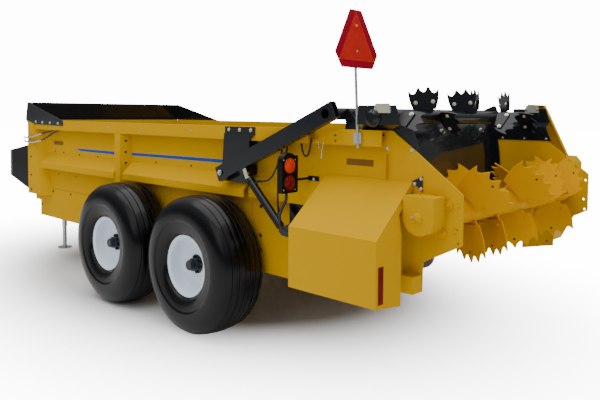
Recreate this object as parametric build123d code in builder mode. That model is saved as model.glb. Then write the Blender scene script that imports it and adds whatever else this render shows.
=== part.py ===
"""Box manure spreader with a hydraulic rear gate, two beaters and tandem wheels.

Millimetres. +X is the direction of travel, +Y the left side, +Z up. The origin lies on
the ground under the middle of the machine's bounding box.
"""
from math import atan2, cos, degrees, hypot, radians, sin

from build123d import *
import os

os.makedirs("parts", exist_ok=True)

# Whole machine
rear = -3400.0            # rear edge of the side plates
sheet = 6.0               # body sheet
guard_sheet = 4.0         # shields and covers
run_gap = 0.3             # gap of a turning or sliding fit
clear = 10.0              # least gap between a moving piece and a fixed one

# Load box
box_front = rear + 5340
wall_in = 925.0           # half width inside the box
wall_out = wall_in + sheet
skirt_out = wall_out + sheet
floor_top = 790.0
skirt_low = 478.0
arch_low = 620.0          # skirt edge above the axle
wall_low = 640.0
rail_low, rail_top = 1425.0, 1523.0
rail_out = 1007.0
plate_front = rear + 505  # where the rear plates end and the sides start
rail_back = rear + 1090
skirt_back = rear + 960
ledge_top, ledge_lip, ledge_low = 1170.0, 1070.0, 1015.0
ledge_out = 1027.0
short_ledge_out = 985.0   # behind the gate pivot
stake_out = 1017.0

# Wheels
axle_rear, axle_front = rear + 2010, rear + 3130
tyre_radius, tyre_width = 510.0, 405.0
tyre_gap = 12.0           # from the side to the tyre
tyre_mid = skirt_out + tyre_gap + tyre_width / 2
rim_flange, rim_seat, rim_wall = 226.0, 206.0, 8.0
rim_half = 150.0
hub_radius = 70.0
stub_radius = 38.0
beam_out = 860.0          # outer face of the walking beams
shaft_radius = 45.0

# Rear gate
pivot_x, pivot_z = rear + 1895, 1183.0
cross_x, cross_z = rear + 880, 1620.0
arm_in, arm_out = 1030.0, 1080.0
arm_high = 108.0
arm_wall = 6.0
cross_radius = 38.0
gate_half = wall_in - 14
gate_foot = 40.8          # degrees of curved sheet below the cross tube

# Gate cylinders
lower_pin_x, lower_pin_z = rear + 1260, 835.0
rod_pin_x, rod_pin_z = rear + 1644, 1192.0
cyl_y = (arm_in + arm_out) / 2
barrel_radius, rod_radius = 28.0, 16.0
pin_radius = 12.0
hose_radius = 6.0

# Beaters
upper_x, upper_z = rear + 540, 1600.0
upper_tube, upper_reach, upper_shaft = 45.0, 203.0, 20.0
lower_x, lower_z = rear + 200, 1049.0
lower_tube, lower_reach, lower_shaft = 85.0, 331.0, 30.0
beater_half = wall_in - 20
paddle_thick, bracket_thick = 8.0, 10.0
flare_out = 1035.0        # outer face of the flared panels
housing_out = 1065.0      # outer face of the upper bearings

# Guards
guard_out = 1067.0
shield_out = 1337.0
drive_out = 1200.0

# Drawbar
hitch_x = 3555.0
tongue_low, tongue_top = 500.0, 640.0
hitch_z = 570.0
clevis_bore = 14.0
clevis_span = 90.0
pto_radius = 17.5
input_tip, input_free = hitch_x - 480, 100.0
input_z = 754.0
input_tube = 40.0

sides = ((1, "left"), (-1, "right"))


def prism_y(points, low, high, mode=Mode.ADD):
    """Adds a plate drawn in X and Z between two Y planes."""
    with BuildSketch(Plane.XZ.offset(-high)) as outline:
        with BuildLine():
            Polyline(*points, close=True)
        make_face()
    extrude(outline.sketch, amount=high - low, mode=mode)


def prism_x(points, low, high, mode=Mode.ADD):
    """Adds a plate drawn in Y and Z between two X planes."""
    with BuildSketch(Plane.YZ.offset(low)) as outline:
        with BuildLine():
            Polyline(*points, close=True)
        make_face()
    extrude(outline.sketch, amount=high - low, mode=mode)


def prism_z(points, low, high, mode=Mode.ADD):
    """Adds a plate drawn in X and Y between two Z planes."""
    with BuildSketch(Plane.XY.offset(low)) as outline:
        with BuildLine():
            Polyline(*points, close=True)
        make_face()
    extrude(outline.sketch, amount=high - low, mode=mode)


def block(x, y, z, mode=Mode.ADD):
    """Adds a box from three (low, high) pairs."""
    with Locations((sum(x) / 2, sum(y) / 2, sum(z) / 2)):
        Box(abs(x[1] - x[0]), abs(y[1] - y[0]), abs(z[1] - z[0]), mode=mode)


def bar(start, end, radius, mode=Mode.ADD):
    """Adds a round bar between two points."""
    way = Vector(*end) - Vector(*start)
    with BuildSketch(Plane(origin=start, z_dir=way)) as outline:
        Circle(radius)
    extrude(outline.sketch, amount=way.length, mode=mode)


def cross_bar(x, z, span, radius, mode=Mode.ADD):
    """Adds a round bar along Y between two Y values."""
    bar((x, span[0], z), (x, span[1], z), radius, mode)


def side_span(low, high, side):
    """Orders a pair of Y values for the left (1) or right (-1) side."""
    return (low, high) if side > 0 else (-high, -low)


def tube(points, radius):
    """Adds a round tube along runs joined by arcs as large as the runs allow."""
    stations = [Vector(*point) for point in points]
    radii = []
    for before, corner, after in zip(stations, stations[1:], stations[2:]):
        turn = radians((corner - before).get_angle(after - corner))
        shorter = min((corner - before).length, (after - corner).length)
        radii.append(0.45 * shorter / (sin(turn / 2) / cos(turn / 2)))
    with BuildLine() as path:
        FilletPolyline(*stations, radius=radii)
    with BuildSketch(Plane(origin=stations[0], z_dir=path.line % 0)) as section:
        Circle(radius)
    sweep(section.sketch, path=path.line)
    return radii


def save(made, label):
    made.part.label = label
    export_step(made.part, f"parts/{label}.step")


# Chassis: two sills, cross members, rear and front ends
sill_top = floor_top - sheet
sill_in, sill_out = 560.0, 640.0
sill_low = tongue_top
member_high, member_long = 60.0, 60.0
chain_shaft, chain_radius, chain_z = 22.0, 105.0, 705.0
chain_x = rear + 580                     # apron's rear shaft
chain_front = box_front - 220
hanger = 60.0
shaft_z = tyre_radius + 30
beam_x = (axle_rear + axle_front) / 2
with BuildPart() as chassis:
    for side, tag in sides:
        block((rear + 700, box_front), side_span(sill_in, sill_out, side), (sill_low, sill_top))
    for x in (700, 1500, 2350, 3200, 4100, 4800, 5280):
        block((rear + x, rear + x + member_long), (-wall_in, wall_in), (sill_top - member_high, sill_top))
    cross_bar(chain_front, chain_z, (-wall_in, wall_in), chain_shaft + run_gap, Mode.SUBTRACT)
save(chassis, "chassis")

# Floor
with BuildPart() as floor:
    block((chain_x + 40, chain_front - 40), (-wall_in, wall_in), (floor_top - sheet, floor_top))
save(floor, "floor")

# Sides: sheet, top rail, ledge, skirt, stakes and corner post
skirts = (                # back, front, low
    (skirt_back, rear + 1640, skirt_low),
    (rear + 1640, rear + 3700, arch_low),
    (rear + 3700, rear + 5206, skirt_low),
)
ledges = (                # back, front, out
    (skirt_back + 32, rear + 1695, short_ledge_out),
    (rear + 1700, rear + 3340, ledge_out),
    (rear + 3490, rear + 5010, ledge_out),
)
for side, tag in sides:
    with BuildPart() as wall:
        block((plate_front, box_front), side_span(wall_in, wall_out, side), (wall_low, rail_top))
        # the rail is a folded channel, open below
        prism_x(
            [
                (side * wall_out, rail_top),
                (side * rail_out, rail_top),
                (side * rail_out, rail_low),
                (side * (rail_out - sheet), rail_low),
                (side * (rail_out - sheet), rail_top - sheet),
                (side * wall_out, rail_top - sheet),
            ],
            rail_back,
            box_front,
        )
        for back, front, low in skirts:
            block((back, front), side_span(wall_out, skirt_out, side), (low, floor_top))
        for back, front, out in ledges:
            prism_x(
                [
                    (side * wall_out, ledge_top),
                    (side * out, ledge_lip),
                    (side * out, ledge_low),
                    (side * (out - sheet), ledge_low),
                    (side * (out - sheet), ledge_lip - 3),
                    (side * wall_out, ledge_top - 8),
                ],
                back,
                front,
            )
        # corner post: its outer face widens downwards and its flank runs back to the sheet
        for y, back_top, back_low in ((stake_out, rear + 5187, rear + 5015), (wall_out, rear + 5100, rear + 4912)):
            with BuildSketch(Plane.XZ.offset(-side * y)):
                with BuildLine():
                    Polyline(
                        (box_front, rail_low),
                        (back_top, rail_low),
                        (back_low, 715),
                        (box_front, 715),
                        close=True,
                    )
                make_face()
        loft(ruled=True)
        low, high = side_span(rail_out, stake_out, side)
        prism_y(
            [
                (rear + 5187, rail_low),
                (box_front, rail_low),
                (box_front, 1515),
                (rear + 5187, 1484),
            ],
            low,
            high,
        )
        # middle stake with a slanted rear flank
        prism_z(
            [
                (rear + 3340, side * wall_out),
                (rear + 3400, side * stake_out),
                (rear + 3490, side * stake_out),
                (rear + 3490, side * wall_out),
            ],
            970,
            rail_low,
        )
        # flat stake behind the ledge
        block((rear + 1712, rear + 1791), side_span(wall_out, wall_out + 11, side), (arch_low, 1120))
        low, high = side_span(wall_in - 1, wall_out + 1, side)
        cross_bar(chain_x, chain_z, (low, high), chain_shaft + run_gap, Mode.SUBTRACT)
    save(wall, f"side_{tag}")

# Front wall, its foot turned back over the cross member to just short of the chains
with BuildPart() as front_wall:
    block((box_front - sheet, box_front), (-wall_in, wall_in), (sill_top, rail_top))
    foot_back = chain_front + chain_radius + clear
    block((foot_back, box_front), (-wall_in, wall_in), (sill_top, floor_top))
save(front_wall, "front_wall")

# Black splash extension: a bent sheet on the front wall, its wings bolted outside the rails
wing_out = rail_out + 5
brim_x, brim_z = rear + 5400, rail_top + 7
crest_x, crest_z = rear + 5355, rail_top + 198
with BuildPart() as extension:
    prism_y(
        [
            (box_front, rail_top - 43),
            (box_front, rail_top - 37),
            (brim_x - 6, brim_z + 2),
            (crest_x - 6, crest_z),
            (crest_x, crest_z),
            (brim_x, brim_z),
        ],
        -wing_out,
        wing_out,
    )
    for side, tag in sides:
        low, high = side_span(rail_out, wing_out, side)
        prism_y(
            [
                (brim_x, brim_z),
                (crest_x, crest_z),
                (rear + 4515, rail_top + 2),
                (rear + 4515, rail_top - 51),
                (rear + 5155, rail_top - 43),
            ],
            low,
            high,
        )
save(extension, "front_extension")

# Front drive shield, left front corner, open towards the wall
with BuildPart() as front_shield:
    prism_y([(box_front, 1268), (rear + 6030, 1160), (rear + 6030, 860), (box_front, 690)], sill_in, wall_out)
    offset(amount=-guard_sheet, openings=front_shield.faces().sort_by(Axis.X)[0])
save(front_shield, "front_shield")

# Rear side plates with top channel, stiffening rib and the bracket at the lower corner
plate_holes = ((21, 1133), (33, 988), (24, 913), (192, 800), (304, 628))      # X from the rear, Z
for side, tag in sides:
    with BuildPart() as plate:
        low, high = side_span(wall_in, skirt_out, side)
        prism_y(
            [
                (rear, 1182),
                (rear, 903),
                (rear + 250, 772),
                (rear + 255, 600),
                (plate_front, 545),
                (plate_front, rail_top),
                (rear + 470, rail_top),
                (rear + 351, 1439),
            ],
            low,
            high,
        )
        cross_bar(lower_x, lower_z, (low, high), lower_shaft + clear, Mode.SUBTRACT)
        for x, z in plate_holes:
            cross_bar(rear + x, z, (low, high), 8, Mode.SUBTRACT)
        # channel along the top edge, open towards the wall
        low, high = side_span(wall_out, 987, side)
        prism_y(
            [
                (rear + 514, rail_low),
                (rear + 1079, rail_low),
                (rear + 911, rail_top),
                (rear + 514, rail_top),
            ],
            low,
            high,
        )
        low, high = side_span(wall_out, 981, side)
        prism_y(
            [
                (rear + 514, rail_low),
                (rear + 1060, rail_low),
                (rear + 905, rail_top - sheet),
                (rear + 514, rail_top - sheet),
            ],
            low,
            high,
            Mode.SUBTRACT,
        )
        low, high = side_span(wall_out, skirt_out, side)
        block((plate_front, rear + 560), (low, high), (1430, rail_top - sheet))
        # stiffening rib, and open box bracket at the left plate's lower corner
        if side > 0:
            block((plate_front - sheet, plate_front), (skirt_out, skirt_out + 25), (1235, 1380))
            block((rear + 256, rear + 391), (skirt_out, skirt_out + 90), (600, 700))
            block((rear + 262, rear + 385), (skirt_out, skirt_out + 84), (600, 700), Mode.SUBTRACT)
    save(plate, f"rear_plate_{tag}")

# Black flared panels above the rear plates
panel_ends = (            # X from the rear, Z
    (290, 1420), (748, 1420), (744, 1512), (664, 1545), (652, 1672), (381, 1672), (350, 1566),
)
with BuildPart() as upper_panels:
    for side, tag in sides:
        prism_x(
            [
                (side * wall_in, 1420),
                (side * (wall_in - 5), 1420),
                (side * (wall_in - 5), 1528),
                (side * (flare_out - 5), 1562),
                (side * (flare_out - 5), 1672),
                (side * flare_out, 1672),
                (side * flare_out, 1558),
                (side * wall_in, 1526),
            ],
            rear + 285,
            rear + 750,
        )
    prism_y([(rear + x, z) for x, z in panel_ends], -flare_out, flare_out, Mode.INTERSECT)
    cross_bar(upper_x, upper_z, (-flare_out, flare_out), upper_shaft + 6, Mode.SUBTRACT)
save(upper_panels, "upper_panels")

# Bearings of the upper beater, each with its zinc cover plate above
with BuildPart() as upper_bearings:
    for side, tag in sides:
        # the left cover plate is outside its panel, the right one inside
        plate_in = flare_out if side > 0 else flare_out - 11
        block((rear + 442, rear + 559), side_span(plate_in, plate_in + 6, side), (1643, 1692))
        low, high = side_span(flare_out, housing_out, side)
        cross_bar(upper_x, upper_z, (low, high), 42)
        cross_bar(upper_x, upper_z, (low, high), upper_shaft + run_gap, Mode.SUBTRACT)
save(upper_bearings, "upper_bearings")

# Guard over the lower beater's left bearing, with its dome and ears
guard_half = 101.0
guard_bore = guard_out - 60
with BuildPart() as guard:
    with BuildSketch(Plane.XZ.offset(-guard_out)):
        with BuildLine():
            Polyline(
                (lower_x - guard_half, lower_z),
                (lower_x - guard_half, lower_z + 117),
                (lower_x + guard_half, lower_z + 117),
                (lower_x + guard_half, lower_z),
            )
            ThreePointArc(
                (lower_x + guard_half, lower_z),
                (lower_x, lower_z - guard_half),
                (lower_x - guard_half, lower_z),
            )
        make_face()
    extrude(amount=guard_out - skirt_out)
    for x, z in ((-118, 70), (-80, -92)):
        cross_bar(lower_x + x, lower_z + z, (skirt_out, skirt_out + 10), 26)
    with Locations((lower_x, guard_out - 14, lower_z)):
        Sphere(34)
    cross_bar(lower_x, lower_z, (skirt_out, guard_bore), lower_shaft + run_gap, Mode.SUBTRACT)
save(guard, "hub_guard")

# Chain shield on the left: folded cover open towards the wall and below
shield_profile = [(skirt_out, 1230), (shield_out, 943), (shield_out, 575), (skirt_out, 530)]
shield_side = (           # X from the rear, Z
    (280, 530), (280, 943), (325, 1230), (988, 1230), (935, 943), (935, 530),
)
shield_slot = 1105.0      # inner edge of its rear face below the plate's bracket
with BuildPart() as chain_shield:
    prism_x(shield_profile, rear + 280, rear + 988)
    prism_y([(rear + x, z) for x, z in shield_side], skirt_out, shield_out, Mode.INTERSECT)
    inner_face = chain_shield.faces().sort_by(Axis.Y)[0]
    bottom_face = chain_shield.faces().sort_by(Axis.Z)[0]
    offset(amount=-guard_sheet, openings=[inner_face, bottom_face])
    prism_x(
        [(skirt_out, 1190), (shield_slot, 1060), (shield_slot, 520), (skirt_out, 520)],
        rear + 279,
        rear + 420,
        Mode.SUBTRACT,
    )
save(chain_shield, "chain_shield")

# Drive shield on the right, tall enough for both beaters
drive_low = (             # X from the rear, Z
    (150, 1250), (190, 1300), (690, 1300), (700, 1250), (700, 620), (300, 620), (150, 900),
)
drive_high = (
    (190, 1240), (235, 1328), (382, 1630), (420, 1703), (553, 1709), (640, 1425), (680, 1295), (680, 1240),
)
tray_in = housing_out + clear
tray_out = tray_in + 42
with BuildPart() as drive_shield:
    # a deep lower shell and a shallow upper tray, both open towards the side
    for grow, mode in ((0, Mode.ADD), (-guard_sheet, Mode.SUBTRACT)):
        for points, inward, out in ((drive_low, skirt_out, drive_out), (drive_high, tray_in, tray_out)):
            with BuildSketch(Plane.XZ.offset(inward)) as outline:
                with BuildLine():
                    Polyline(*((rear + x, z) for x, z in points), close=True)
                make_face()
                if grow:
                    offset(amount=grow, kind=Kind.INTERSECTION)
            extrude(outline.sketch, amount=out + grow - inward, mode=mode)
    # bearing stool of the lower beater
    cross_bar(lower_x, lower_z, (-guard_out, -skirt_out), 60)
    cross_bar(lower_x, lower_z, (-guard_bore, -skirt_out), lower_shaft + run_gap, Mode.SUBTRACT)
save(drive_shield, "drive_shield")

# Apron: two chain loops on sprocket shafts, with slats across the floor
slat_high, chain_high, chain_wide, chain_y = 30.0, 20.0, 30.0, 450.0
with BuildPart() as apron:
    for y in (-chain_y, chain_y):
        for radius, mode in ((chain_radius, Mode.ADD), (chain_radius - chain_high, Mode.SUBTRACT)):
            with BuildSketch(Plane.XZ.offset(-y - chain_wide / 2)) as loop:
                with Locations(((chain_x + chain_front) / 2, chain_z)):
                    SlotCenterToCenter(chain_front - chain_x, 2 * radius)
            extrude(loop.sketch, amount=chain_wide, mode=mode)
    for x in (chain_x, chain_front):
        reach = wall_out if x == chain_x else wall_in - clear
        for y in (-chain_y, chain_y):
            span = (y - chain_wide / 2, y + chain_wide / 2)
            cross_bar(x, chain_z, span, chain_radius - chain_high)
        cross_bar(x, chain_z, (-reach, reach), chain_shaft)
    for n in range(12):
        x = chain_x + 60 + n * 365
        block((x, x + 40), (-wall_in + 8, wall_in - 8), (floor_top, floor_top + slat_high))
save(apron, "apron")

# Tandem axle: walking beams on one cross shaft
with BuildPart() as axle_beams:
    cross_bar(beam_x, shaft_z, (-beam_out, beam_out), shaft_radius)
    for side, tag in sides:
        low, high = side_span(beam_out - 80, beam_out, side)
        prism_y(
            [
                (axle_rear - 60, tyre_radius - 50),
                (axle_front + 60, tyre_radius - 50),
                (axle_front + 60, tyre_radius + 50),
                (beam_x + 140, shaft_z + 60),
                (beam_x - 140, shaft_z + 60),
                (axle_rear - 60, tyre_radius + 50),
            ],
            low,
            high,
        )
        for x in (axle_rear, axle_front):
            cross_bar(x, tyre_radius, side_span(beam_out, tyre_mid + 38, side), stub_radius)
        block((beam_x - hanger, beam_x + hanger), side_span(sill_in, sill_out, side), (shaft_z, sill_low))
save(axle_beams, "axle_beams")

# Wheels: distance from the tyre's middle plane, radius from the axle
tyre_outline = (
    (rim_half, rim_seat),
    (rim_half, rim_flange + 4),
    (tyre_width / 2, tyre_radius * 0.66),
    (tyre_width * 0.47, tyre_radius * 0.86),
    (tyre_width * 0.31, tyre_radius * 0.99),
    (tyre_width * 0.16, tyre_radius),
)
rim_outline = (
    (-rim_half - 6, rim_seat - rim_wall),
    (-rim_half - 6, rim_flange),
    (-rim_half, rim_flange),
    (-rim_half, rim_seat),
    (rim_half, rim_seat),
    (rim_half, rim_flange),
    (rim_half + 6, rim_flange),
    (rim_half + 6, rim_seat - rim_wall),
    (84, rim_seat - rim_wall - 6),
    (52, 140),
    (52, hub_radius + 26),
    (60, hub_radius),
    (96, hub_radius - 8),
    (104, hub_radius - 24),
    (112, hub_radius - 28),
    (116, 0),
    (42, 0),
    (42, stub_radius + run_gap),
    (-62, stub_radius + run_gap),
    (-62, hub_radius),
    (40, hub_radius),
    (40, 144),
    (70, rim_seat - rim_wall),
)
for axle_x, place in ((axle_front, "front"), (axle_rear, "rear")):
    for side, tag in sides:
        axle = Axis((axle_x, 0, tyre_radius), (0, 1, 0))
        with BuildPart() as tyre:
            with BuildSketch(Plane.YZ.offset(axle_x)):
                with BuildLine():
                    Polyline(
                        *((side * (tyre_mid + y), tyre_radius + r) for y, r in tyre_outline),
                        *((side * (tyre_mid - y), tyre_radius + r) for y, r in reversed(tyre_outline)),
                        close=True,
                    )
                make_face()
            revolve(axis=axle)
        save(tyre, f"tyre_{place}_{tag}")
        with BuildPart() as rim:
            with BuildSketch(Plane.YZ.offset(axle_x)):
                with BuildLine():
                    Polyline(
                        *((side * (tyre_mid + y), tyre_radius + r) for y, r in rim_outline),
                        close=True,
                    )
                make_face()
            revolve(axis=axle)
        save(rim, f"rim_{place}_{tag}")

# Gate: arms, cross tube, curved sheet
tilt = atan2(cross_z - pivot_z, cross_x - pivot_x)
along = (cos(tilt), sin(tilt))
up = (along[1], -along[0])


def arm_point(distance, height):
    """Point on the gate arm: distance from the pivot, height across the arm."""
    return (
        pivot_x + along[0] * distance + up[0] * height,
        pivot_z + along[1] * distance + up[1] * height,
    )


def arc_point(radius, angle):
    """Point on a circle round the gate pivot."""
    return (pivot_x + radius * cos(radians(angle)), pivot_z + radius * sin(radians(angle)))


arm_length = hypot(cross_x - pivot_x, cross_z - pivot_z)
arm_tip = arm_length + 70
gate_radius = arm_length + 10
lug_back = hypot(rod_pin_x - pivot_x, rod_pin_z - pivot_z)
with BuildPart() as gate_frame:
    for side, tag in sides:
        # box arms: the rear end is open, the front end closed round the pivot
        for low, high, near, far, half, mode in (
            (arm_in, arm_out, -45, arm_tip, arm_high / 2, Mode.ADD),
            (arm_in + arm_wall, arm_out - arm_wall, 300, arm_tip + 1, arm_high / 2 - arm_wall, Mode.SUBTRACT),
        ):
            low, high = side_span(low, high, side)
            prism_y(
                [arm_point(near, -half), arm_point(far, -half), arm_point(far, half), arm_point(near, half)],
                low,
                high,
                mode,
            )
        for inner in (cyl_y - 24, cyl_y + 16):
            low, high = side_span(inner, inner + 8, side)
            prism_y(
                [
                    arm_point(lug_back - 56, -arm_high / 2),
                    arm_point(lug_back + 22, -arm_high / 2),
                    arm_point(lug_back + 7, -arm_high / 2 - 60),
                    arm_point(lug_back - 41, -arm_high / 2 - 60),
                ],
                low,
                high,
            )
        low, high = side_span(arm_in - 6, arm_out + 10, side)
        cross_bar(pivot_x, pivot_z, (low, high), pin_radius + run_gap, Mode.SUBTRACT)
        # end plate between the cross tube and the curved sheet
        low, high = side_span(gate_half - 60, gate_half - 52, side)
        prism_y(
            [
                (cross_x, cross_z),
                arc_point(gate_radius - 1, degrees(tilt) + 13),
                arc_point(gate_radius - 90, degrees(tilt) + 7),
            ],
            low,
            high,
        )
    cross_bar(cross_x, cross_z, (-arm_out, arm_out), cross_radius)
    for side, tag in sides:
        cross_bar(cross_x, cross_z, side_span(arm_in - 60, arm_out, side), cross_radius - arm_wall, Mode.SUBTRACT)
save(gate_frame, "gate_frame")

gate_high = degrees(tilt)
gate_low = gate_high + gate_foot
gate_sheet_out = gate_radius + 8
with BuildPart() as gate_sheet:
    with BuildSketch(Plane.XZ.offset(-gate_half)):
        with BuildLine():
            inner = [arc_point(gate_radius, a) for a in (gate_high, (gate_low + gate_high) / 2, gate_low)]
            outer = [arc_point(gate_sheet_out, a) for a in (gate_low, (gate_low + gate_high) / 2, gate_high)]
            ThreePointArc(*inner)
            Line(inner[2], outer[0])
            ThreePointArc(*outer)
            Line(outer[2], inner[0])
        make_face()
    extrude(amount=2 * gate_half)
    # stiffening lip along the foot
    foot_x, foot_z = arc_point(gate_radius, gate_low)
    block((foot_x - 3, foot_x + 30), (-gate_half, gate_half), (foot_z + 2, foot_z + 10))
    cross_bar(cross_x, cross_z, (-gate_half - 1, gate_half + 1), cross_radius, Mode.SUBTRACT)
save(gate_sheet, "gate_sheet")

# Gate pivot brackets on the rails: flange, offset face, flanks and pins
bracket_face = stake_out + 6
with BuildPart() as gate_brackets:
    for side, tag in sides:
        low, high = side_span(rail_out, rail_out + 6, side)
        block((rear + 1598, rear + 1925), (low, high), (1470, 1520))
        low, high = side_span(rail_out, bracket_face, side)
        block((rear + 1598, rear + 1925), (low, high), (1464, 1470))
        low, high = side_span(stake_out, bracket_face, side)
        prism_y(
            [
                (rear + 1598, 1470),
                (rear + 1925, 1470),
                (rear + 1945, 1225),
                (rear + 1925, 1120),
                (rear + 1655, 1120),
                (rear + 1645, 1425),
            ],
            low,
            high,
        )
        for x in (rear + 1650, rear + 1918):
            low, high = side_span(wall_out + 12, stake_out, side)
            block((x, x + 6), (low, high), (ledge_top + 5, rail_low - 1))
        low, high = side_span(bracket_face, arm_out + 8, side)
        cross_bar(pivot_x, pivot_z, (low, high), pin_radius)
save(gate_brackets, "gate_brackets")

# Cylinders: barrel on the lower bracket, rod to the arm
way = (rod_pin_x - lower_pin_x, rod_pin_z - lower_pin_z)
span = hypot(*way)
unit = (way[0] / span, way[1] / span)
barrel_end = span - 54


def on_cylinder(distance, side, lift=0.0, y=cyl_y):
    """Point on a cylinder's axis, or lifted off it towards the rear."""
    return (
        lower_pin_x + unit[0] * distance - unit[1] * lift,
        side * y,
        lower_pin_z + unit[1] * distance + unit[0] * lift,
    )


port_low, port_high = 110.0, barrel_end - 65
port_lift = barrel_radius + 20
elbow_long = 46.0
elbows = (                # port's distance, first free point of its hose
    (port_low, (rear + 1325, 1052, 1050)),
    (port_high, (rear + 1440, 1052, 1152)),
)


def elbow_end(port, aim, side):
    """End of a port's elbow, which points at the hose's first free point."""
    turn = Vector(*on_cylinder(port, side, port_lift))
    target = Vector(aim[0], side * aim[1], aim[2])
    return turn + (target - turn).normalized() * elbow_long


for side, tag in sides:
    with BuildPart() as barrel:
        bar(on_cylinder(38, side), on_cylinder(barrel_end, side), barrel_radius)
        bar(on_cylinder(barrel_end - 30, side), on_cylinder(barrel_end - 5, side), barrel_radius + 4)
        cross_bar(lower_pin_x, lower_pin_z, side_span(cyl_y - 12, cyl_y + 12, side), 26)
        bar(on_cylinder(0, side), on_cylinder(40, side), 11)
        for port, aim in elbows:
            turn = on_cylinder(port, side, port_lift)
            bar(on_cylinder(port, side, rod_radius + 2), turn, 9)
            with Locations(turn):
                Sphere(9)
            bar(turn, elbow_end(port, aim, side), 8)
        low, high = side_span(cyl_y - 40, cyl_y + 40, side)
        cross_bar(lower_pin_x, lower_pin_z, (low, high), pin_radius + run_gap, Mode.SUBTRACT)
        bar(on_cylinder(60, side), on_cylinder(barrel_end + 1, side), rod_radius + run_gap, Mode.SUBTRACT)
    save(barrel, f"cylinder_barrel_{tag}")
    with BuildPart() as rod:
        bar(on_cylinder(65, side), on_cylinder(span - 18, side), rod_radius)
        cross_bar(rod_pin_x, rod_pin_z, side_span(cyl_y - 12, cyl_y + 12, side), 24)
    save(rod, f"cylinder_rod_{tag}")

# Brackets of the cylinders, and the black corner bracket of the chain shield
ear_gap = 2.0
with BuildPart() as cylinder_brackets:
    for side, tag in sides:
        low, high = side_span(wall_out, wall_out + 8, side)
        block((rear + 1163, rear + 1320), (low, high), (floor_top + 5, ledge_low - 10))
        low, high = side_span(wall_out + 8, cyl_y + 22, side)
        block((rear + 1175, rear + 1187), (low, high), (floor_top + 10, lower_pin_z + 65))
        for inner in (cyl_y - 20 - ear_gap, cyl_y + 12 + ear_gap):
            low, high = side_span(inner, inner + 8, side)
            prism_y(
                [
                    (rear + 1187, floor_top + 10),
                    (lower_pin_x, lower_pin_z - 26),
                    (lower_pin_x + 25, lower_pin_z - 5),
                    (lower_pin_x + 23, lower_pin_z + 13),
                    (lower_pin_x, lower_pin_z + 26),
                    (rear + 1187, lower_pin_z + 60),
                ],
                low,
                high,
            )
        low, high = side_span(cyl_y - 22, cyl_y + 22, side)
        cross_bar(lower_pin_x, lower_pin_z, (low, high), pin_radius)
    prism_y(
        [(rear + 325, 1235), (rear + 255, 1268), (rear + 255, 1178)],
        skirt_out,
        skirt_out + sheet,
    )
save(cylinder_brackets, "cylinder_brackets")

# Hoses from the elbows up into the open rail: X, Y, Z, each from its elbow's end
low_port, high_port = (tuple(elbow_end(port, aim, 1)) for port, aim in elbows)
hose_routes = {
    "hose_upper": (
        high_port,
        elbows[1][1],
        (rear + 1392, 1041, 1180),
        (rear + 1365, 1018, 1258),
        (rear + 1354, 982, 1352),
        (rear + 1351, 968, 1446),
    ),
    "hose_lower": (
        low_port,
        elbows[0][1],
        (rear + 1330, 1040, 1140),
        (rear + 1325, 1010, 1235),
        (rear + 1318, 975, 1340),
        (rear + 1315, 962, 1446),
    ),
}
for name, route in hose_routes.items():
    for side, tag in sides:
        with BuildPart() as hose:
            radii = tube([(x, side * y, z) for x, y, z in route], hose_radius)
        print(name, tag, "radii", [round(r) for r in radii])
        save(hose, f"{name}_{tag}")

# Lines under the left rail to the front: black hose, then bent steel ends
line_routes = (           # X from the rear, Y, Z
    (
        (4600, 966, 1452),
        (4740, 970, 1438),
        (4838, 1004, 1404),
        (4930, 1034, 1390),
        (5090, 1036, 1358),
        (5250, 1036, 1334),
        (5390, 1035, 1330),
    ),
    (
        (4500, 966, 1452),
        (4650, 972, 1436),
        (4756, 1006, 1392),
        (4842, 1034, 1342),
        (4930, 1038, 1318),
        (5080, 1037, 1292),
        (5240, 1036, 1282),
        (5390, 1035, 1289),
    ),
)
with BuildPart() as hydraulic_lines:
    for route in line_routes:
        tube([(rear + x, y, z) for x, y, z in route], 8)
    for x, z in ((4600, 1452), (4500, 1452)):
        block((rear + x - 30, rear + x + 10), (950, 982), (z - 8, rail_top - sheet))
save(hydraulic_lines, "hydraulic_lines")

# Beaters


def paddle(axle, angle, y, pitch, size, dip, flip):
    """Adds a toothed paddle or its bracket on a radius, turned by its pitch about it.

    size holds the inner radius, outer radius, sag of the tooth arc, inner width, outer
    width and number of teeth; with no teeth it is a plain bracket. flip is the side of
    the mating plane.
    """
    inner, outer, sag, wide_in, wide_out, teeth = size
    a, q = radians(angle), radians(pitch)
    across = Vector(sin(q) * sin(a), cos(q), sin(q) * cos(a))
    radial = Vector(-cos(a), 0, sin(a))
    face = Plane(origin=(axle[0], y, axle[1]), x_dir=across, z_dir=across.cross(radial))
    with BuildSketch(face) as outline:
        with BuildLine():
            if teeth:
                tips = []
                for n in range(teeth):
                    t = 2 * n / (teeth - 1) - 1
                    tips.append((t * wide_out / 2, outer - sag * t * t))
                for first, last in zip(tips, tips[1:]):
                    middle = ((first[0] + last[0]) / 2, (first[1] + last[1]) / 2 - dip)
                    ThreePointArc(first, middle, last)
                for hand in (-1, 1):
                    bulge = hand * (wide_in + wide_out) * 0.265
                    ThreePointArc(
                        (hand * wide_in / 2, inner),
                        (bulge, (inner + outer - sag) / 2),
                        (hand * wide_out / 2, outer - sag),
                    )
                Line((-wide_in / 2, inner), (wide_in / 2, inner))
            else:
                Polyline(
                    (-wide_in / 2, inner),
                    (wide_in / 2, inner),
                    (wide_out / 2, outer),
                    (-wide_out / 2, outer),
                    close=True,
                )
        make_face()
        if teeth:
            with Locations((0, outer - 62)):
                Circle(7, mode=Mode.SUBTRACT)
    extrude(outline.sketch, amount=flip)


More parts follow.
